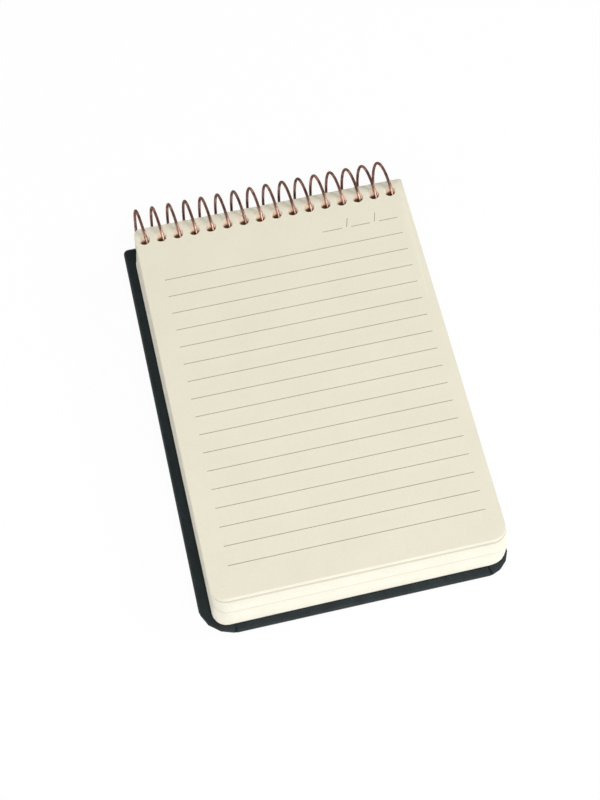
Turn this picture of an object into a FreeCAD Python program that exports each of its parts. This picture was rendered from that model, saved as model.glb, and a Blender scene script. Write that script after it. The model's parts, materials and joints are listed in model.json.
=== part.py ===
import FreeCAD, Part
import math
import os

# A pocket notebook bound along its head by a wire coil, open at a ruled sheet, with its front cover folded
# right round under the back cover. All sizes are in millimetres. The pieces are first made level: the coil's
# axis is the X axis, the sheets reach towards -Y and the ruled side is up. Then the whole is tilted by the
# small angle at which it lies on a flat surface, on the coil and on the foot of the front cover.

# Sheets
page_width = 105.0
page_length = 148.0
page_block_thickness = 13.0
page_head_margin = 4.5  # middle of a hole to the head edge
page_head_radius = 2.0
page_foot_radius = 5.5
page_hole_diameter = 4.0
page_shift = 0.5  # middle of the sheets, right of the middle of the row of holes

# Row of holes
hole_pitch = 6.35  # four holes to the inch
hole_count = math.floor(page_width / hole_pitch)  # as many as the sheets' width takes

# Wire coil
coil_radius = 11.0  # axis to the middle of the wire
wire_diameter = 1.1
top_sheet_height = 9.2  # uppermost sheet, above the coil's axis
wire_play = 1.1  # wire right of the middle of the sheets' holes, with the front cover folded under
wire_end_recess = 0.6  # each end of the wire stops this far inside a cover's hole

# Covers, boards wrapped in cloth
board_thickness = 2.2
cover_side_margin = 2.6  # wider than the sheets by this much on each side
cover_width = page_width + 2 * cover_side_margin
cover_length = 156.5
cover_head_margin = 8.5
cover_head_radius = 2.0
cover_foot_radius = 10.0
cover_edge_rounding = min(0.8, 0.45 * board_thickness)  # no more than the board's edge takes
cover_hole_diameter = 4.8
cover_gap = 0.3  # between the two covers
back_cover_shift = -0.6  # middle of the back cover, right of the middle of the sheets' row of holes
front_cover_shift = -0.9
front_cover_turn = 180.0  # degrees that the front cover swings, out to lying flat beyond the coil

# Heights above the coil's axis, down through the stack
pages_bottom = top_sheet_height - page_block_thickness
back_cover_bottom = pages_bottom - board_thickness
front_cover_top = back_cover_bottom - cover_gap
front_cover_bottom = front_cover_top - board_thickness

# The front cover has been carried over the coil's loops and under the back cover, so in its holes the wire
# is almost a full turn further along than in the sheets' holes. As the cover swings back the wire drifts
# sideways in its holes, and the coil slides the other way by as much as the sheets' holes allow.
coil_slide = 2 * wire_play
front_cover_drift = hole_pitch * front_cover_turn / 360 - coil_slide


def wire_angle(height):
    # Angle at which the wire passes this height on the foot side, counted from the foot upwards, in degrees
    return math.degrees(math.asin(height / coil_radius))


def wire_point(number, angle):
    # Middle of the wire at this angle, on the turn that goes through the hole of this number
    hole_x = (number - (hole_count - 1) / 2) * hole_pitch
    drift = hole_pitch * (angle - wire_angle(top_sheet_height)) / 360
    turn = math.radians(angle)
    x = hole_x + wire_play - drift
    return FreeCAD.Vector(x, -coil_radius * math.cos(turn), coil_radius * math.sin(turn))


def rounded_outline(width, middle, head, length, head_radius, foot_radius, height):
    # Closed outline of a sheet or a board, with a rounding at each corner
    left = middle - width / 2
    right = middle + width / 2
    foot = head - length
    centres = [
        (left + foot_radius, foot + foot_radius, foot_radius),
        (right - foot_radius, foot + foot_radius, foot_radius),
        (right - head_radius, head - head_radius, head_radius),
        (left + head_radius, head - head_radius, head_radius),
    ]
    arcs = []
    for number, (x, y, radius) in enumerate(centres):
        start = math.pi + number * math.pi / 2
        circle = Part.Circle(FreeCAD.Vector(x, y, height), FreeCAD.Vector(0, 0, 1), radius)
        arcs.append(circle.toShape(start, start + math.pi / 2))
    edges = []
    for arc, following in zip(arcs, arcs[1:] + arcs[:1]):
        edges.append(arc)
        edges.append(Part.LineSegment(arc.Vertexes[-1].Point, following.Vertexes[0].Point).toShape())
    return Part.Wire(edges)


def carried_along(outline, path):
    # Solid left by a flat outline that is carried along a path and never turns
    sweep = Part.BRepOffsetAPI.MakePipeShell(Part.Wire([path]))
    sweep.setTrihedronMode(FreeCAD.Vector(0, 0, 0), FreeCAD.Vector(0, 0, 1))
    sweep.add(outline)
    sweep.build()
    sweep.makeSolid()
    return sweep.shape()


def page_hole(number):
    # Tunnel through the sheets, each of which hangs on the wire, so it follows the wire's curve. It runs a
    # little past the sheets at both ends, but no further up than the curve itself goes.
    reach = min(1.0, 0.9 * (coil_radius - top_sheet_height))
    first = wire_angle(pages_bottom - reach)
    last = wire_angle(top_sheet_height + reach)
    steps = 8
    middle_of_hole = FreeCAD.Vector(-wire_play, 0, 0)
    points = []
    for step in range(steps + 1):
        points.append(wire_point(number, first + (last - first) * step / steps) + middle_of_hole)
    path = Part.BSplineCurve()
    path.interpolate(points)
    circle = Part.Circle(points[0], FreeCAD.Vector(0, 0, 1), page_hole_diameter / 2)
    return carried_along(Part.Wire([circle.toShape()]), path.toShape())


def make_pages():
    # The head and foot of the block follow the coil's curve, as the edges of its sheets do.
    middle_height = (top_sheet_height + pages_bottom) / 2
    curve = [wire_point(0, wire_angle(height)) for height in (pages_bottom, middle_height, top_sheet_height)]
    curve = [FreeCAD.Vector(0, point.y, point.z) for point in curve]
    outline = rounded_outline(
        page_width,
        page_shift,
        curve[0].y + page_head_margin,
        page_length,
        page_head_radius,
        page_foot_radius,
        pages_bottom,
    )
    block = carried_along(outline, Part.Arc(*curve).toShape())
    return block.cut([page_hole(number) for number in range(hole_count)])


def make_cover(bottom, shift, full_turns, wire_offset):
    # A board whose wrapping rounds its edges. The wire reaches its holes this many turns after the sheets'
    # holes and lies this far right of their middles.
    enter = wire_point(0, 360 * full_turns + wire_angle(bottom))
    leave = wire_point(0, 360 * full_turns + wire_angle(bottom + board_thickness))
    middle = (enter + leave) / 2
    outline = rounded_outline(
        cover_width,
        shift,
        middle.y + cover_head_margin,
        cover_length,
        cover_head_radius,
        cover_foot_radius,
        bottom,
    )
    board = Part.Face(outline).extrude(FreeCAD.Vector(0, 0, board_thickness))
    rim = [edge for edge in board.Edges if abs(edge.tangentAt(edge.FirstParameter).z) < 0.5]
    board = board.makeFillet(cover_edge_rounding, rim)
    reach = 1.0
    punches = []
    for number in range(hole_count):
        centre = FreeCAD.Vector(middle.x - wire_offset + number * hole_pitch, middle.y, bottom - reach)
        punches.append(Part.makeCylinder(cover_hole_diameter / 2, board_thickness + 2 * reach, centre))
    return board.cut(punches)


def make_coil():
    # One wire, from the back cover's last hole at the right to the front cover's first hole at the left
    first = wire_angle(back_cover_bottom + wire_end_recess)
    last = 360 + wire_angle(front_cover_top - wire_end_recess)
    turned = last - first + 360 * (hole_count - 1)
    start = wire_point(hole_count - 1, first)
    sine = math.sin(math.radians(first))
    cosine = math.cos(math.radians(first))
    helix = Part.makeHelix(hole_pitch, hole_pitch * turned / 360, coil_radius)
    place = FreeCAD.Matrix(0, 0, -1, start.x, -cosine, sine, 0, 0, sine, cosine, 0, 0, 0, 0, 0, 1)
    helix = helix.transformGeometry(place)
    along = FreeCAD.Vector(-hole_pitch / (2 * math.pi * coil_radius), sine, cosine)
    section = Part.Circle(start, along, wire_diameter / 2)
    return Part.Wire(helix.Edges).makePipeShell([Part.Wire([section.toShape()])], True, True)


def lying_angle():
    # Tilt at which the underside of the coil and the rounded foot of the front cover touch one flat surface
    enter = wire_point(0, wire_angle(front_cover_bottom))
    leave = wire_point(0, wire_angle(front_cover_top))
    reach = cover_length - cover_head_margin - (enter.y + leave.y) / 2 - cover_edge_rounding
    drop = -front_cover_bottom - cover_edge_rounding
    coil_drop = coil_radius + wire_diameter / 2 - cover_edge_rounding
    return math.degrees(math.asin(coil_drop / math.hypot(reach, drop)) - math.atan2(drop, reach))


def main():
    os.makedirs("parts", exist_ok=True)
    pieces = {
        "pages": make_pages(),
        "back_cover": make_cover(back_cover_bottom, back_cover_shift, 0, wire_play),
        "front_cover": make_cover(front_cover_bottom, front_cover_shift, 1, -front_cover_drift / 2),
        "coil": make_coil(),
    }
    for shape in pieces.values():
        shape.rotate(FreeCAD.Vector(0, 0, 0), FreeCAD.Vector(1, 0, 0), lying_angle())
    box = Part.makeCompound(list(pieces.values())).optimalBoundingBox(False, False)
    axis = FreeCAD.Vector(-box.Center.x, -box.Center.y, coil_radius + wire_diameter / 2)
    for name, shape in pieces.items():
        shape.translate(axis)
        shape.exportStep(f"parts/{name}.step")
    print("tilt", round(lying_angle(), 4), "coil axis", axis, "coil slide", coil_slide)
    for name, shape in pieces.items():
        box = shape.optimalBoundingBox(False, False)
        print(name, shape.isValid(), len(shape.Solids), round(shape.Volume, 1), box)


main()
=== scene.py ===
import json
import math
import random
import bpy
from mathutils import Matrix, Vector
from mathutils.geometry import delaunay_2d_cdt


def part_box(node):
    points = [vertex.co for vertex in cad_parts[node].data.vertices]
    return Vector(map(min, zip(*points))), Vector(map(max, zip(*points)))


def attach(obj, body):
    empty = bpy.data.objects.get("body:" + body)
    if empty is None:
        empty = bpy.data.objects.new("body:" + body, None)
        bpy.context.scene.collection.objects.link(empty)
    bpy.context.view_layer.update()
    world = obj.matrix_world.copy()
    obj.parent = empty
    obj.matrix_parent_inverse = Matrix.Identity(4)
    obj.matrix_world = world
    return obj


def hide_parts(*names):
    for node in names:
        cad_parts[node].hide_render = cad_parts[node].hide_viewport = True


# A reporter notebook bound along its head by a wire coil, open at a ruled sheet, with its front cover folded
# under. Pieces are drawn in level millimetres: X along the coil from the middle of the sheets' row of holes,
# Y from the foot towards the head with 0 on the coil's axis, Z up from that axis. Then they are laid down.

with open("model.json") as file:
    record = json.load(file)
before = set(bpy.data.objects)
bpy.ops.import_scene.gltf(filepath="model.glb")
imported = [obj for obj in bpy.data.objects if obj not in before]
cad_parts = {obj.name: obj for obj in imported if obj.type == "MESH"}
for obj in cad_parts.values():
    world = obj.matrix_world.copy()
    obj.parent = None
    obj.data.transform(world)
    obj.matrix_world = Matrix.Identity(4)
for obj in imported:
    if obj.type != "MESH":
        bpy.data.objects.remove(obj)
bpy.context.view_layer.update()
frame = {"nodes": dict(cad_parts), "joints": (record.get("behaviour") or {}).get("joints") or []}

coil = {
    "radius": 11.0,  # axis to the middle of the wire
    "pitch": 6.35,  # four holes to the inch
    "holes": 16,
    "sheetShift": 0.5,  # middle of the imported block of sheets, right of the middle of its row of holes
}


def findLie():
    # Takes level millimetres to the place where the notebook lies, in metres
    hinge = next(joint for joint in frame["joints"] if joint["name"] == "front_cover_swing")
    flatFace = max(frame["nodes"]["back_cover"].data.polygons, key=lambda face: face.area)
    tilt = math.atan2(abs(flatFace.normal.y), abs(flatFace.normal.z))
    low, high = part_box("pages")
    middle = Vector(hinge["pos_m"])
    middle.x = (low.x + high.x) / 2 - coil["sheetShift"] / 1000
    return Matrix.Translation(middle) @ Matrix.Rotation(tilt, 4, "X") @ Matrix.Scale(0.001, 4)


lie = findLie()
toLevel = lie.inverted()


def levelBox(name):
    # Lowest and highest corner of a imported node, in level millimetres
    corners = [toLevel @ vertex.co for vertex in frame["nodes"][name].data.vertices]
    low = Vector([min(corner[axis] for corner in corners) for axis in range(3)])
    high = Vector([max(corner[axis] for corner in corners) for axis in range(3)])
    return low, high


def wireAngle(height):
    # Angle round the coil, up from the foot side, at which the wire passes this height
    return math.asin(height / coil["radius"])


def wireReach(height):
    # How far the wire stands out towards the foot at this height
    return coil["radius"] * math.cos(wireAngle(height))


pagesLow, pagesHigh = levelBox("pages")


# Colours and node trees


def linear(hexColour):
    # An sRGB hex value as the linear colour that the shaders take
    colour = []
    for place in (1, 3, 5):
        value = int(hexColour[place:place + 2], 16) / 255
        colour.append(value / 12.92 if value <= 0.04045 else ((value + 0.055) / 1.055) ** 2.4)
    return [*colour, 1.0]


def addNode(tree, kind, settings=None, sockets=None):
    # Adds a node, sets its properties, and sets or links its inputs
    node = tree.nodes.new(kind)
    for name, value in (settings or {}).items():
        setattr(node, name, value)
    for name, value in (sockets or {}).items():
        if isinstance(value, bpy.types.NodeSocket):
            tree.links.new(value, node.inputs[name])
        else:
            node.inputs[name].default_value = value
    return node


def newMaterial(name):
    # An empty material with its output, and the surface's own coordinates in level millimetres
    material = bpy.data.materials.new(name)
    material.use_nodes = True
    tree = material.node_tree
    tree.nodes.clear()
    output = addNode(tree, "ShaderNodeOutputMaterial")
    coordinates = addNode(tree, "ShaderNodeTexCoord")
    toMillimetres = addNode(
        tree, "ShaderNodeMapping", {"vector_type": "POINT"},
        {
            "Vector": coordinates.outputs["Object"],
            "Location": toLevel.to_translation(),
            "Rotation": toLevel.to_euler(),
            "Scale": toLevel.to_scale(),
        },
    )
    return material, tree, output, toMillimetres.outputs["Vector"]


def paintHoleLightAndShade(tree, place, colour):
    # Painted light and shade in the punched holes: upper walls painted paler and peach, painted brown shade
    # further down
    holes = {
        "starts": 1.05,  # mm under the top sheet
        "full": 1.6,
        "reach": 3.2,  # mm either side of the wire's curve
        "sides": 50.3,  # mm from the middle of the row
        # Painted light: the upper hole walls painted paler and peach, standing in for their lit faces and the
        # wire's reflection
        "paintedLightTint": "#F6E6D2",
        # Painted shade: the holes painted brown further down
        "brown": "#795226",
    }
    parts = addNode(tree, "ShaderNodeSeparateXYZ", {}, {"Vector": place})
    deep = addNode(
        tree, "ShaderNodeMapRange", {},
        {
            "Value": parts.outputs["Z"],
            "From Min": pagesHigh.z - holes["starts"],
            "From Max": pagesHigh.z - holes["full"],
        },
    )
    # The wire's curve at each height, from the coil's radius
    squared = addNode(
        tree, "ShaderNodeMath", {"operation": "MULTIPLY"}, {0: parts.outputs["Z"], 1: parts.outputs["Z"]}
    )
    rest = addNode(
        tree, "ShaderNodeMath", {"operation": "SUBTRACT"},
        {0: coil["radius"] ** 2, 1: squared.outputs["Value"]},
    )
    reach = addNode(tree, "ShaderNodeMath", {"operation": "SQRT"}, {0: rest.outputs["Value"]})
    offset = addNode(
        tree, "ShaderNodeMath", {"operation": "ADD"}, {0: parts.outputs["Y"], 1: reach.outputs["Value"]}
    )
    offset = addNode(tree, "ShaderNodeMath", {"operation": "ABSOLUTE"}, {0: offset.outputs["Value"]})
    near = addNode(
        tree, "ShaderNodeMath", {"operation": "LESS_THAN"}, {0: offset.outputs["Value"], 1: holes["reach"]}
    )
    across = addNode(tree, "ShaderNodeMath", {"operation": "ABSOLUTE"}, {0: parts.outputs["X"]})
    inside = addNode(
        tree, "ShaderNodeMath", {"operation": "LESS_THAN"}, {0: across.outputs["Value"], 1: holes["sides"]}
    )
    inHoles = addNode(
        tree, "ShaderNodeMath", {"operation": "MULTIPLY"},
        {0: near.outputs["Value"], 1: inside.outputs["Value"]},
    )
    # The painted light on the upper walls of the holes
    withPaintedLight = addNode(
        tree, "ShaderNodeMix", {"data_type": "RGBA"},
        {"Factor": inHoles.outputs["Value"], 6: colour, 7: linear(holes["paintedLightTint"])},
    )
    # The painted shade deeper in the holes
    paintedShadeShare = addNode(
        tree, "ShaderNodeMath", {"operation": "MULTIPLY"},
        {0: inHoles.outputs["Value"], 1: deep.outputs["Result"]},
    )
    return addNode(
        tree, "ShaderNodeMix", {"data_type": "RGBA"},
        {"Factor": paintedShadeShare.outputs["Value"], 6: withPaintedLight.outputs[2], 7: linear(holes["brown"])},
    )


def paintPaper(name, colour, deeper, punched=False):
    # Uncoated cream writing paper: matt, evenly pale, with a faint cloudiness
    paper = {
        "fibreMm": 0.5,  # tufts of fibre, drawn coarser than real ones so that they show
        "cloudMm": 14.0,
        "cloudShare": 0.6,  # weight of the clouds beside the fibres
        "tintRange": (0.55, 1.05),  # fibres and clouds together, from the deeper to the paler colour
        "roughness": 0.9,
        "toothMm": 0.012,  # height of the tooth
    }
    material, tree, output, place = newMaterial(name)
    fibres = addNode(
        tree, "ShaderNodeTexNoise", {}, {"Vector": place, "Scale": 1 / paper["fibreMm"], "Detail": 3.0}
    )
    clouds = addNode(
        tree, "ShaderNodeTexNoise", {}, {"Vector": place, "Scale": 1 / paper["cloudMm"], "Detail": 2.0}
    )
    mixed = addNode(
        tree, "ShaderNodeMath", {"operation": "MULTIPLY_ADD"},
        {0: clouds.outputs["Fac"], 1: paper["cloudShare"], 2: fibres.outputs["Fac"]},
    )
    low, high = paper["tintRange"]
    tint = addNode(
        tree, "ShaderNodeMapRange", {}, {"Value": mixed.outputs["Value"], "From Min": low, "From Max": high}
    )
    shade = addNode(
        tree, "ShaderNodeMix", {"data_type": "RGBA"},
        {"Factor": tint.outputs["Result"], 6: linear(deeper), 7: linear(colour)},
    )
    # Painted light and shade in the punched holes
    if punched:
        shade = paintHoleLightAndShade(tree, place, shade.outputs[2])
    tooth = addNode(
        tree, "ShaderNodeBump", {},
        {"Height": fibres.outputs["Fac"], "Distance": paper["toothMm"] / 1000, "Strength": 0.5},
    )
    sheet = addNode(
        tree, "ShaderNodeBsdfPrincipled", {},
        {
            "Base Color": shade.outputs[2],
            "Roughness": paper["roughness"],
            "Specular IOR Level": 0.25,
            "Normal": tooth.outputs["Normal"],
        },
    )
    tree.links.new(sheet.outputs["BSDF"], output.inputs["Surface"])
    return material


def paintCloth(name, colour, worn):
    # Book cloth with a filled weave, glued round board: dark slate, a dull gloss, threads just showing
    cloth = {
        "threadMm": 0.45,  # thread spacing, a little coarser than fine book cloth so that it shows
        "threadHeightMm": 0.05,
        "slubsPerThread": 0.7,
        "weaveShare": 0.25,  # weight of the weave beside the slubs
        "scuffMm": 5.0,
        "wornRange": (0.12, 0.45),  # slubs and scuffs together, from the plain to the worn colour
        "roughness": 0.62,
        "gloss": 0.3,
    }
    material, tree, output, place = newMaterial(name)
    parts = addNode(tree, "ShaderNodeSeparateXYZ", {}, {"Vector": place})
    turns = 2 * math.pi / cloth["threadMm"]
    waves = []
    for axis in ("X", "Y"):
        # The height is added to both directions, so that the weave goes on round the edges of the board
        along = addNode(
            tree, "ShaderNodeMath", {"operation": "ADD"}, {0: parts.outputs[axis], 1: parts.outputs["Z"]}
        )
        angle = addNode(
            tree, "ShaderNodeMath", {"operation": "MULTIPLY"}, {0: along.outputs["Value"], 1: turns}
        )
        waves.append(addNode(tree, "ShaderNodeMath", {"operation": "SINE"}, {0: angle.outputs["Value"]}))
    weave = addNode(
        tree, "ShaderNodeMath", {"operation": "MULTIPLY"},
        {0: waves[0].outputs["Value"], 1: waves[1].outputs["Value"]},
    )
    slubs = addNode(
        tree, "ShaderNodeTexNoise", {},
        {"Vector": place, "Scale": cloth["slubsPerThread"] / cloth["threadMm"], "Detail": 4.0},
    )
    surface = addNode(
        tree, "ShaderNodeMath", {"operation": "MULTIPLY_ADD"},
        {0: weave.outputs["Value"], 1: cloth["weaveShare"], 2: slubs.outputs["Fac"]},
    )
    scuffs = addNode(
        tree, "ShaderNodeTexNoise", {}, {"Vector": place, "Scale": 1 / cloth["scuffMm"], "Detail": 5.0}
    )
    blend = addNode(
        tree, "ShaderNodeMath", {"operation": "MULTIPLY"},
        {0: surface.outputs["Value"], 1: scuffs.outputs["Fac"]},
    )
    low, high = cloth["wornRange"]
    tint = addNode(
        tree, "ShaderNodeMapRange", {}, {"Value": blend.outputs["Value"], "From Min": low, "From Max": high}
    )
    shade = addNode(
        tree, "ShaderNodeMix", {"data_type": "RGBA"},
        {"Factor": tint.outputs["Result"], 6: linear(colour), 7: linear(worn)},
    )
    threads = addNode(
        tree, "ShaderNodeBump", {},
        {"Height": surface.outputs["Value"], "Distance": cloth["threadHeightMm"] / 1000, "Strength": 0.6},
    )
    cover = addNode(
        tree, "ShaderNodeBsdfPrincipled", {},
        {
            "Base Color": shade.outputs[2],
            "Roughness": cloth["roughness"],
            "Specular IOR Level": cloth["gloss"],
            "Normal": threads.outputs["Normal"],
        },
    )
    tree.links.new(cover.outputs["BSDF"], output.inputs["Surface"])
    return material


def paintWire(name, colour, tarnished):
    # Copper plated steel wire, drawn smooth and browned: a deep brown red half mirror whose edges stay dark,
    # a little dulled in patches by handling
    wire = {
        "patchMm": 3.0,
        "patchRange": (0.4, 0.65),  # from bright to dulled
        "metal": 0.82,
        "roughness": 0.16,
        "dullRoughness": 0.28,
        "edgeTint": "#7A6A64",
    }
    material, tree, output, place = newMaterial(name)
    patches = addNode(
        tree, "ShaderNodeTexNoise", {}, {"Vector": place, "Scale": 1 / wire["patchMm"], "Detail": 3.0}
    )
    low, high = wire["patchRange"]
    dulled = addNode(
        tree, "ShaderNodeMapRange", {}, {"Value": patches.outputs["Fac"], "From Min": low, "From Max": high}
    )
    shade = addNode(
        tree, "ShaderNodeMix", {"data_type": "RGBA"},
        {"Factor": dulled.outputs["Result"], 6: linear(colour), 7: linear(tarnished)},
    )
    rough = addNode(
        tree, "ShaderNodeMapRange", {},
        {"Value": dulled.outputs["Result"], "To Min": wire["roughness"], "To Max": wire["dullRoughness"]},
    )
    metal = addNode(
        tree, "ShaderNodeBsdfPrincipled", {},
        {
            "Base Color": shade.outputs[2],
            "Metallic": wire["metal"],
            "Roughness": rough.outputs["Result"],
            "Specular Tint": linear(wire["edgeTint"]),
        },
    )
    tree.links.new(metal.outputs["BSDF"], output.inputs["Surface"])
    return material


writingPaper = paintPaper("creamWritingPaper", "#E9E4D0", "#E4DFCB")
# Painted light: the block's sheets are the ruled sheet's paper painted paler and less yellow, so that their
# edges look brightly lit
paintedLightPaper = paintPaper("creamPaperPaintedLightEdges", "#EEEBE0", "#E8E5D8", punched=True)
# Painted shade: the same paper painted darker, for the upper face of the first sheet under each bundle, in
# place of the bundle's shade
paintedShadePaper = paintPaper("creamPaperPaintedShadeUnderBundles", "#DCD7C4", "#D5D0BD", punched=True)
ruledInk = paintPaper("paleGreyRulingInk", "#A0917B", "#93846F")
bookCloth = paintCloth("slateBookCloth", "#171E20", "#252F31")
linerPaper = paintPaper("slateLinerPaper", "#23292B", "#1C2123")
copperWire = paintWire("copperPlatedWire", "#B08878", "#7A5B50")
print("materials ready")


# Meshes


def makePiece(name, points, faces, materials, choices=None, sharpDegrees=35):
    # An object from level points. choices gives each face the number of its material.
    mesh = bpy.data.meshes.new(name)
    mesh.from_pydata([lie @ Vector(point) for point in points], [], faces)
    for material in materials:
        mesh.materials.append(material)
    if choices:
        mesh.polygons.foreach_set("material_index", choices)
    mesh.shade_smooth()
    mesh.set_sharp_from_angle(angle=math.radians(sharpDegrees))
    mesh.update()
    piece = bpy.data.objects.new(name, mesh)
    bpy.context.scene.collection.objects.link(piece)
    return piece


def roundedOutline(width, length, headRadius, footRadius, steps, facet=0.0, creases=(0.0, 0.0)):
    # Points of a sheet or board with its head edge on Y = 0, and how much of a fold each one has. Each
    # radius is a pair, along X and along Y. A facet angle makes the foot corners of a few flat folds, as
    # where cloth is turned round a board, each with one crease near the foot edge.
    points = []
    folds = []
    halfStep = 45 / steps
    corners = [
        (-width / 2, -length, footRadius[0], 180),
        (width / 2, -length, footRadius[1], 270),
        (width / 2, 0, headRadius[1], 0),
        (-width / 2, 0, headRadius[0], 90),
    ]
    for x, y, radius, start in corners:
        middle = Vector((x - math.copysign(radius[0], x), y + (radius[1] if y < 0 else -radius[1])))
        for step in range(steps + 1):
            turn = 90 * step / steps
            stretch = 1.0
            fold = 0.0
            if facet and y < 0:
                off = turn - facet * round(turn / facet)
                stretch = 1 / math.cos(math.radians(off))
                offCrease = 90 - turn - creases[0] if x < 0 else turn - creases[1]
                fold = 1.0 if abs(offCrease) < halfStep else 0.0
            angle = math.radians(start + turn)
            arm = Vector((radius[0] * math.cos(angle), radius[1] * math.sin(angle)))
            points.append(middle + stretch * arm)
            folds.append(fold)
    return points, folds


def punchRow(y, diameter, sides):
    # Circles of the row of holes, half of them on each side of X = 0
    circles = []
    for number in range(coil["holes"]):
        x = (number - (coil["holes"] - 1) / 2) * coil["pitch"]
        turns = [2 * math.pi * side / sides for side in range(sides)]
        circles.append([Vector((x, y)) + diameter / 2 * Vector((math.cos(t), math.sin(t))) for t in turns])
    return circles


def triangulate(outline, circles, marks=(), loose=()):
    # Triangles of a flat outline without its holes. Says for each point whether it is on a hole, and for each
    # triangle whether it lies in one of the printed marks.
    points = []
    rings = []
    for ring in [outline, *circles, *marks]:
        rings.append(list(range(len(points), len(points) + len(ring))))
        points.extend(ring)
    onHole = set()
    for ring in rings[1:1 + len(circles)]:
        onHole.update(ring)
    points.extend(loose)
    insideOnly = 1
    nearest = 1e-5  # mm, points that lie closer together count as one
    found, _, triangles, sources, _, owners = delaunay_2d_cdt(points, [], rings, insideOnly, nearest)
    kept = []
    printed = []
    for triangle, owned in zip(triangles, owners):
        if any(1 <= owner <= len(circles) for owner in owned):
            continue
        kept.append(triangle)
        printed.append(int(any(owner > len(circles) for owner in owned)))
    holeFlags = [any(origin in onHole for origin in origins) for origins in sources]
    order = [origins[0] if origins else -1 for origins in sources]  # the given point that each one comes from
    return {"points": found, "triangles": kept, "printed": printed, "onHole": holeFlags, "order": order}


def rimOf(triangles):
    # Edges with a triangle on one side only, in the direction that their triangle has them
    edges = set()
    for triangle in triangles:
        for start, end in zip(triangle, [*triangle[1:], triangle[0]]):
            edges.add((start, end))
    return [edge for edge in edges if (edge[1], edge[0]) not in edges]


def newShell():
    return {"points": [], "faces": [], "choices": []}


def addLeaf(shell, flat, rim, place, thickness, faceChoice=0):
    # Adds one closed sheet. place gives the level position of a flat point's upper side, and faceChoice the
    # material of its upper face.
    first = len(shell["points"])
    count = len(flat["points"])
    upper = [place(point, onHole) for point, onHole in zip(flat["points"], flat["onHole"])]
    shell["points"].extend(upper)
    shell["points"].extend([point - Vector((0, 0, thickness)) for point in upper])
    for triangle, printed in zip(flat["triangles"], flat["printed"]):
        shell["faces"].append([first + corner for corner in triangle])
        shell["choices"].append(printed or faceChoice)
    for triangle in flat["triangles"]:
        shell["faces"].append([first + count + corner for corner in reversed(triangle)])
        shell["choices"].append(0)
    for start, end in rim:
        shell["faces"].append([first + end, first + start, first + count + start, first + count + end])
        shell["choices"].append(0)


# Sheets


sheets = {
    "count": 80,
    "thickness": 0.142,
    "width": 104.3,
    "length": 148.6,
    "headMargin": 5.15,  # middle of a hole to the head edge
    "headRadius": [(2.6, 2.6), (1.0, 1.0)],  # left and right
    "footRadius": [(5.2, 5.2), (5.2, 5.2)],
    "holeDiameter": 4.2,  # leaves room for the wire as it shifts when the front cover swings
    "topMiddle": 1.49,  # middle of the top sheet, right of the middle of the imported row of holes
    "topHoleRow": 0.36,  # middle of the top sheet's own row of holes, right of the same
    "fan": 1.5,  # how far the lowest sheets have slid to the left under the top one
    "fanDegrees": 0.23,
    "droop": 0.25,  # drop of the top sheet's head edge, past the holes
    "cornerDroop": 0.9,  # further drop of its right corner there
    "cornerWidth": 5.5,
    # Sheets that were turned in bundles: the depth of each bundle, and how far all that lies under it stands
    # out at the foot
    "bundles": [(0.5, 0.44), (3.4, 0.18)],
    "bundleGap": 0.12,  # standing off at the foot under each bundle
    "unevenness": 0.07,  # how far a sheet's edge strays from its neighbours'
    "seed": 11,
    # Steps round a corner and sides of a hole, in the sheets of the block and in the ruled sheet on top
    "cornerSteps": (5, 12),
    "holeSides": (16, 28),
}
bending = {
    # Points inside the ruled sheet at which it can bend. The shifts keep them off the printed lines.
    "columns": 8,  # on each side of the middle one
    "columnStep": 6.0,
    "columnShift": 0.37,
    "rows": 23,
    "rowStep": 6.1,
    "rowShift": 0.53,
    # Rows close to the holes keep the bend of the head strip away from the flat sheet
    "holeRows": (-4.7, -3.1, 3.1),
    "holeRowColumns": 32,
    "columnsPerHole": 4,
}
ruling = {
    "lines": 17,
    "first": -24.64,
    "spacing": 7.09,
    "left": -42.92,
    "right": 48.4,
    "width": 0.24,
    "dateHeight": -17.8,
    "dashes": [(18.94, 26.44), (30.09, 37.24), (40.84, 48.14)],
    "slashes": [28.24, 39.01],
    "slashFoot": -17.6,
    "slashHead": -13.9,
    "slashLean": 1.1,
}


def strokeOf(start, end, width):
    # Corners of a printed stroke, anticlockwise
    start, end = Vector(start), Vector(end)
    side = (end - start).normalized()
    side = Vector((side.y, -side.x)) * width / 2
    return [start + side, end + side, end - side, start - side]


def rulingMarks():
    # Printed lines on the ruled sheet, in that sheet's flat coordinates
    marks = []
    for number in range(ruling["lines"]):
        y = ruling["first"] - number * ruling["spacing"]
        marks.append(strokeOf((ruling["left"], y), (ruling["right"], y), ruling["width"]))
    for left, right in ruling["dashes"]:
        marks.append(strokeOf((left, ruling["dateHeight"]), (right, ruling["dateHeight"]), ruling["width"]))
    for x in ruling["slashes"]:
        top = (x + ruling["slashLean"], ruling["slashHead"])
        marks.append(strokeOf((x, ruling["slashFoot"]), top, ruling["width"]))
    shift = Vector((sheets["topMiddle"], -wireReach(pagesHigh.z)))
    return [[point - shift for point in mark] for mark in marks]


def bendingPoints():
    points = []
    for column in range(-bending["columns"], bending["columns"] + 1):
        for row in range(1, bending["rows"] + 1):
            x = column * bending["columnStep"] + bending["columnShift"]
            points.append(Vector((x, -row * bending["rowStep"] - bending["rowShift"])))
    for column in range(-bending["holeRowColumns"], bending["holeRowColumns"] + 1):
        x = column * coil["pitch"] / bending["columnsPerHole"] + bending["columnShift"]
        points.extend([Vector((x, y)) for y in bending["holeRows"]])
    return points


def sheetOutline(steps):
    points, _ = roundedOutline(
        sheets["width"], sheets["length"], sheets["headRadius"], sheets["footRadius"], steps
    )
    return [point + Vector((0, sheets["headMargin"])) for point in points]


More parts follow.
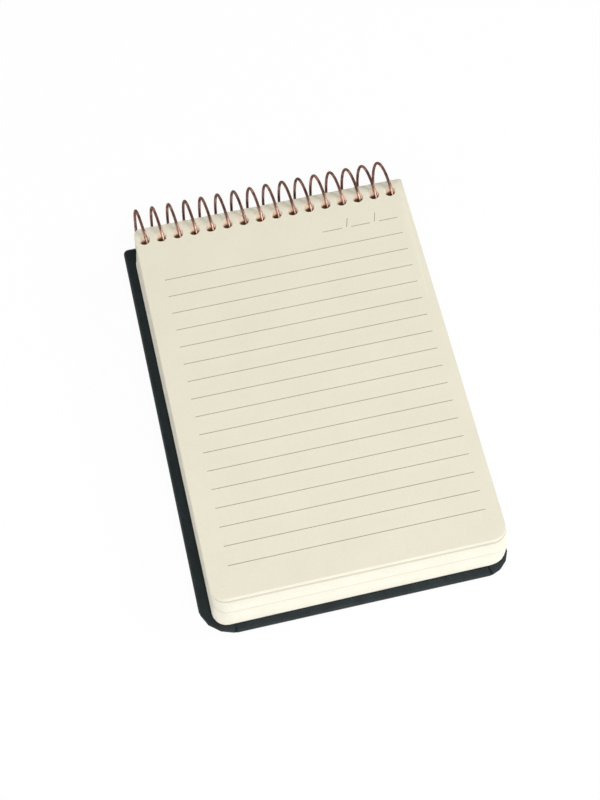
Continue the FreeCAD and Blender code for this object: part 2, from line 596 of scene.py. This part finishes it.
def layLeaf(number, stray):
    # Where the points of this sheet lie, counted from the top one. Each hangs on the wire by its holes.
    blockDepth = pagesHigh.z - pagesLow.z
    depth = number * blockDepth / sheets["count"]
    height = pagesHigh.z - depth
    share = depth / blockDepth
    slides = [slide for deep, slide in sheets["bundles"] if depth > deep]
    sag = sheets["bundleGap"] * (1 - share) * len(slides)
    reach = wireReach(height)
    drift = coil["pitch"] * (wireAngle(pagesHigh.z) - wireAngle(height)) / (2 * math.pi)
    middle = sheets["topMiddle"] - sheets["fan"] * share
    row = sheets["topHoleRow"] + drift
    turn = math.radians(sheets["fanDegrees"]) * share

    def place(point, onHole):
        x = point.x + (row if onHole else middle + stray.x)
        y = point.y + (0 if onHole else stray.y - sum(slides))
        edge = sheets["holeDiameter"] / 2
        past = max(0.0, point.y - edge) / (sheets["headMargin"] - edge)
        back = max(0.0, -point.y) / sheets["length"]
        corner = max(0.0, 1 - (sheets["width"] / 2 - point.x) / sheets["cornerWidth"])
        droop = sheets["droop"] + sheets["cornerDroop"] * corner ** 2
        z = height - droop * (1 - share) * past ** 2 - sag * back
        return Vector((x - y * turn, y - reach + x * turn, z))

    return place


def makeSheets():
    draw = random.Random(sheets["seed"])
    blockSteps, topSteps = sheets["cornerSteps"]
    blockSides, topSides = sheets["holeSides"]
    shell = newShell()
    plain = triangulate(sheetOutline(blockSteps), punchRow(0, sheets["holeDiameter"], blockSides))
    rim = rimOf(plain["triangles"])
    leafDepth = (pagesHigh.z - pagesLow.z) / sheets["count"]
    for number in range(1, sheets["count"]):
        stray = Vector((draw.gauss(0, sheets["unevenness"]), draw.gauss(0, sheets["unevenness"])))
        # The first sheet under each bundle gets the darker paper, which paints the bundle's shade
        inPaintedShade = any((number - 1) * leafDepth <= deep < number * leafDepth for deep, _ in sheets["bundles"])
        addLeaf(shell, plain, rim, layLeaf(number, stray), sheets["thickness"], int(inPaintedShade))
    block = makePiece(
        "sheetBlock", shell["points"], shell["faces"], [paintedLightPaper, paintedShadePaper], shell["choices"]
    )

    holes = punchRow(0, sheets["holeDiameter"], topSides)
    ruled = triangulate(sheetOutline(topSteps), holes, rulingMarks(), bendingPoints())
    shell = newShell()
    addLeaf(shell, ruled, rimOf(ruled["triangles"]), layLeaf(0, Vector((0, 0))), sheets["thickness"])
    topSheet = makePiece(
        "ruledSheet", shell["points"], shell["faces"], [writingPaper, ruledInk], shell["choices"]
    )
    for piece in (block, topSheet):
        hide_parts("pages")
        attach(piece, "book")


makeSheets()
print("sheets made")


# Covers


boards = {
    "rounding": 0.8,
    "roundingSteps": 4,
    "headRadius": [(2.0, 2.0), (2.0, 2.0)],  # left and right, each along the edge and along the side
    "footRadius": [(13.5, 11.0), (9.5, 9.0)],
    "leastRadius": 0.2,
    "cornerSteps": 32,
    "creaseDegrees": (11.25, 11.25),  # round the left and right foot corner, from the foot edge
    "facetDegrees": 22.5,
    "foldDepth": 0.85,
    "foldNotch": 0.2,
    # The folds at the corners run this far in over the board's inner face. Over 2.9 it crosses the outermost
    # hole, and stray faces are left across the holes there.
    "turnIn": 4.5,
    "holeMargin": 8.5,  # middle of a hole to the head edge
    "holeDiameter": 4.8,
    "holeSides": 24,
    "backRow": 2.07,  # middle of the row of holes, right of the board's middle
    "frontRow": -2.11,
    "linerInset": 5.0,
    "linerThickness": 0.06,
    "linerCornerSteps": 10,
}


def shrunk(radii, inset):
    # The radii of an outline that lies this far inside another
    return [tuple(max(radius - inset, boards["leastRadius"]) for radius in pair) for pair in radii]


def boardProfile(low, high, innerUp):
    # Rings of points from the upper face over the edge to the lower face. Each has its inset from the edge,
    # its height, and the shares of the folds' notch and depth that it takes. The folds sink into the board's
    # inner face.
    rounding = boards["rounding"]
    steps = boards["roundingSteps"]
    arc = [math.radians(90 - 90 / steps * step) for step in range(steps + 1)]
    profile = []
    for angle in arc:
        inset = rounding * (1 - math.cos(angle))
        profile.append((inset, high - rounding * (1 - math.sin(angle)), math.cos(angle), math.sin(angle)))
    for angle in reversed(arc):
        inset = rounding * (1 - math.cos(angle))
        profile.append((inset, low + rounding * (1 - math.sin(angle)), math.cos(angle), 0.0))
    if innerUp:
        return [(boards["turnIn"], high, 0.0, 0.0), *profile]
    profile = [(inset, high + low - height, out, sink) for inset, height, out, sink in reversed(profile)]
    return [*profile, (boards["turnIn"], low, 0.0, 0.0)]


def makeBoard(name, node, row, body, innerUp):
    # A board wrapped in cloth, which turns in over the inner face
    low, high = levelBox(node)
    width = high.x - low.x
    length = high.y - low.y
    middle = Vector(((low.x + high.x) / 2, high.y))
    centre = Vector((0, -length / 2))
    points = []
    faces = []
    rings = []
    for inset, height, out, sink in boardProfile(low.z, high.z, innerUp):
        flat, folds = roundedOutline(
            width - 2 * inset, length - 2 * inset, shrunk(boards["headRadius"], inset),
            shrunk(boards["footRadius"], inset), boards["cornerSteps"], boards["facetDegrees"],
            boards["creaseDegrees"],
        )
        rings.append(range(len(points), len(points) + len(flat)))
        for point, fold in zip(flat, folds):
            point = point + Vector((0, -inset))
            inward = (centre - point).normalized() * boards["foldNotch"] * fold * out
            drop = boards["foldDepth"] * fold * sink * (1 if innerUp else -1)
            points.append(Vector((*(point + inward + middle), height - drop)))
    for upper, lower in zip(rings, rings[1:]):
        for here, there in zip(range(len(upper)), [*range(1, len(upper)), 0]):
            faces.append([upper[here], lower[here], lower[there], upper[there]])
    sides = boards["holeSides"]
    circles = punchRow(-boards["holeMargin"], boards["holeDiameter"], sides)
    circles = [[point + Vector((row, 0)) + middle for point in circle] for circle in circles]
    caps = []  # number of the first hole point in the upper and in the lower face
    for ring, height, facingUp in ((rings[0], high.z, True), (rings[-1], low.z, False)):
        outline = [points[index].xy for index in ring]
        cap = triangulate(outline, circles)
        first = len(points)
        points.extend([Vector((*point, height)) for circle in circles for point in circle])
        caps.append(first)
        known = [*ring, *range(first, len(points))]
        numbers = [known[source] for source in cap["order"]]
        for triangle in cap["triangles"]:
            corners = [numbers[corner] for corner in triangle]
            faces.append(corners if facingUp else corners[::-1])
    for number in range(len(circles)):
        for side in range(sides):
            here = number * sides + side
            there = number * sides + (side + 1) % sides
            faces.append([caps[0] + here, caps[0] + there, caps[1] + there, caps[1] + here])
    piece = makePiece(name, points, faces, [bookCloth], sharpDegrees=50)
    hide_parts(node)
    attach(piece, body)
    return middle, width, length, low, circles


def makeLiner(middle, width, length, low, circles):
    # Paper pasted over the turned-in cloth on the inner face of the front cover
    inset = boards["linerInset"]
    outline, _ = roundedOutline(
        width - 2 * inset, length - 2 * inset, boards["headRadius"], shrunk(boards["footRadius"], inset),
        boards["linerCornerSteps"],
    )
    flat = triangulate([point + middle + Vector((0, -inset)) for point in outline], circles)
    shell = newShell()
    addLeaf(
        shell, flat, rimOf(flat["triangles"]), lambda point, onHole: Vector((*point, low.z)),
        boards["linerThickness"],
    )
    liner = makePiece("frontCoverLiner", shell["points"], shell["faces"], [linerPaper])
    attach(liner, "front_cover")


makeBoard("backCover", "back_cover", boards["backRow"], "book", True)
frontBoard = makeBoard("frontCover", "front_cover", boards["frontRow"], "front_cover", False)
makeLiner(*frontBoard)
print("covers made")


# Coil


wireNode = frame["nodes"]["coil"]
if not wireNode.material_slots:
    wireNode.data.materials.append(copperWire)
for materialSlot in wireNode.material_slots:
    materialSlot.material = copperWire
print("coil finished")


# Studio


studio = {
    "floorRadius": 3.0,  # metres, the floor rises at its rim into a low white backdrop all round
    "flatShare": 0.6,  # of the radius, as far as the floor is flat
    "rimRise": 0.7,
    "floorRings": 40,
    "floorSides": 96,
    "floorColour": "#FCFCFC",
    "whiteShare": 0.94,  # share of plain white in what is seen of the floor, which keeps its shadows faint
    "lampDistance": 2.4,
    "skyStrength": 0.15,
    "lamps": {
        # azimuth in degrees to the right of the foot, elevation, width and height in metres, watts
        "softKey": (0.0, 51.0, 2.0, 2.0, 47.0),
        "leftFill": (-80.0, 25.0, 1.4, 1.4, 7.5),
        "rightGlow": (84.0, 34.0, 1.7, 0.8, 26.0),
    },
}
photographer = {
    "eye": (-54.24, -294.05, 499.95),  # level millimetres
    "target": (-5.01, -83.28, 9.2),
    "rollDegrees": -0.454,
    "lens": 67.33,  # mm, and so is the sensor's width
    "sensorWidth": 36.0,
}


def paintFloor():
    # Matt white paint, which looks almost plain white to the camera and in reflections and keeps its shadows
    material = bpy.data.materials.new("matteWhitePaintedFloor")
    material.use_nodes = True
    tree = material.node_tree
    tree.nodes.clear()
    output = addNode(tree, "ShaderNodeOutputMaterial")
    light = addNode(tree, "ShaderNodeLightPath")
    seen = addNode(
        tree, "ShaderNodeMath", {"operation": "ADD"},
        {0: light.outputs["Is Camera Ray"], 1: light.outputs["Is Glossy Ray"]},
    )
    seen = addNode(
        tree, "ShaderNodeMath", {"operation": "ADD", "use_clamp": True},
        {0: seen.outputs["Value"], 1: light.outputs["Is Transmission Ray"]},
    )
    share = addNode(
        tree, "ShaderNodeMath", {"operation": "MULTIPLY"}, {0: seen.outputs["Value"], 1: studio["whiteShare"]}
    )
    paint = addNode(tree, "ShaderNodeBsdfDiffuse", {}, {"Color": linear(studio["floorColour"])})
    white = addNode(tree, "ShaderNodeEmission", {}, {"Color": (1, 1, 1, 1), "Strength": 1.0})
    surface = addNode(
        tree, "ShaderNodeMixShader", {},
        {"Fac": share.outputs["Value"], 1: paint.outputs["BSDF"], 2: white.outputs["Emission"]},
    )
    tree.links.new(surface.outputs["Shader"], output.inputs["Surface"])
    return material


def makeFloor():
    rings = studio["floorRings"]
    sides = studio["floorSides"]
    points = [Vector((0, 0, 0))]
    faces = []
    for ring in range(1, rings + 1):
        share = ring / rings
        radius = studio["floorRadius"] * share
        climb = max(0.0, (share - studio["flatShare"]) / (1 - studio["flatShare"]))
        height = studio["rimRise"] * climb ** 2
        for side in range(sides):
            angle = 2 * math.pi * side / sides
            points.append(Vector((radius * math.cos(angle), radius * math.sin(angle), height)))
    for side in range(sides):
        there = (side + 1) % sides
        faces.append([0, 1 + side, 1 + there])
        for ring in range(rings - 1):
            inner = 1 + ring * sides
            outer = inner + sides
            faces.append([inner + side, outer + side, outer + there, inner + there])
    mesh = bpy.data.meshes.new("studioFloor")
    mesh.from_pydata(points, [], faces)
    mesh.shade_smooth()
    mesh.materials.append(paintFloor())
    floor = bpy.data.objects.new("studioFloor", mesh)
    bpy.context.scene.collection.objects.link(floor)


def makeLights():
    # A large soft light from the foot side, a weak one from the left and a wide low one from the right that
    # glints along the wire, under a dim even sky
    for name, (azimuth, elevation, width, height, watts) in studio["lamps"].items():
        azimuth = math.radians(azimuth)
        elevation = math.radians(elevation)
        flat = math.cos(elevation)
        towards = Vector((flat * math.sin(azimuth), -flat * math.cos(azimuth), math.sin(elevation)))
        lamp = bpy.data.lights.new(name, "AREA")
        lamp.shape = "ELLIPSE"
        lamp.size = width
        lamp.size_y = height
        lamp.energy = watts
        light = bpy.data.objects.new(name, lamp)
        light.location = towards * studio["lampDistance"]
        light.rotation_euler = towards.to_track_quat("Z", "Y").to_euler()
        bpy.context.scene.collection.objects.link(light)
    world = bpy.data.worlds.new("studioSky")
    world.use_nodes = True
    sky = world.node_tree.nodes["Background"]
    sky.inputs["Color"].default_value = (1, 1, 1, 1)
    sky.inputs["Strength"].default_value = studio["skyStrength"]
    bpy.context.scene.world = world


def makeCamera():
    eye = lie @ Vector(photographer["eye"])
    target = lie @ Vector(photographer["target"])
    back = (eye - target).normalized()
    right = Vector((0, 0, 1)).cross(back).normalized()
    up = back.cross(right)
    roll = Matrix.Rotation(math.radians(photographer["rollDegrees"]), 3, "Z")
    turned = Matrix((right, up, back)).transposed() @ roll
    lens = bpy.data.cameras.new("photographer")
    lens.sensor_width = photographer["sensorWidth"]
    lens.lens = photographer["lens"]
    camera = bpy.data.objects.new("photographer", lens)
    camera.matrix_world = Matrix.Translation(eye) @ turned.to_4x4()
    bpy.context.scene.collection.objects.link(camera)
    bpy.context.scene.camera = camera


makeFloor()
makeLights()
makeCamera()
bpy.context.scene.view_settings.view_transform = "Standard"
print("studio ready")
